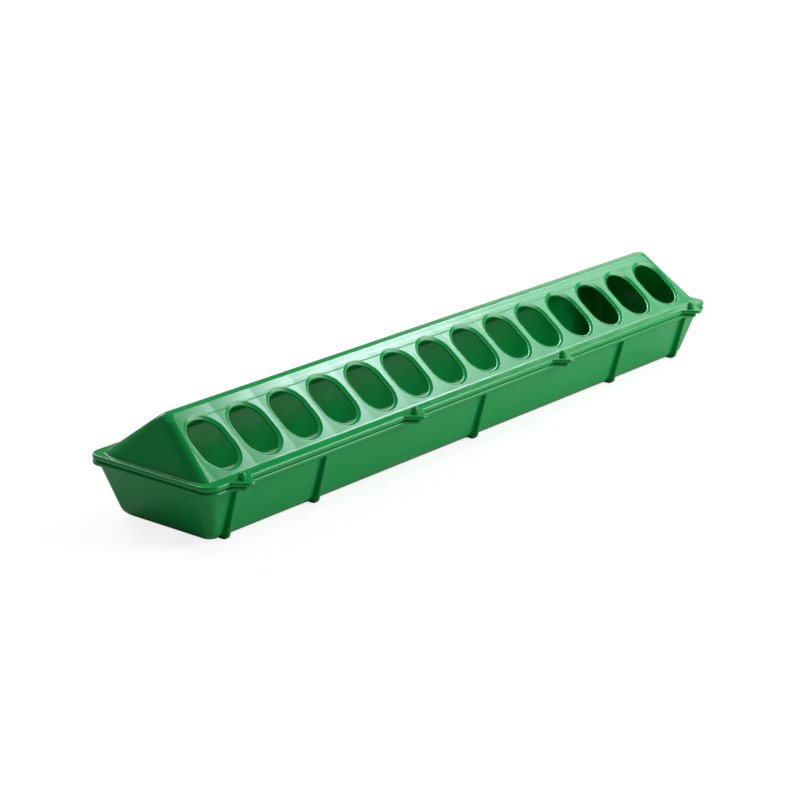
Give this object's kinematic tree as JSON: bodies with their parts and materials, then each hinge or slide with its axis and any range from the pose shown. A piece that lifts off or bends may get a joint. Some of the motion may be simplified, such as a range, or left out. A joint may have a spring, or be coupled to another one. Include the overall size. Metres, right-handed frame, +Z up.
{
  "type": "flip-top feeder",
  "caption": "Long low feed trough with a tent-shaped lid on a back hinge, pierced along both slopes by oval feeding holes, moulded in green plastic",
  "frame": {"origin": "middle of the footprint, on the floor that the feeder stands on", "axes": "+X along the feeder, +Z up, pegs at the front on -Y and the hinge at the back on +Y"},
  "size_m": [0.5012, 0.1152, 0.0684],
  "materials": {
    "green_plastic": "smooth moulded polypropylene, semi-gloss"
  },
  "bodies": {
    "trough": {"trough": "green_plastic"},
    "lid": {"lid": "green_plastic"}
  },
  "joints": [
    {"name": "lid_hinge", "type": "hinge", "parent": "trough", "child": "lid", "pos_m": [0, 0.0539, 0.0369], "axis": [-1, 0, 0], "range_deg": [0, 180]}
  ]
}
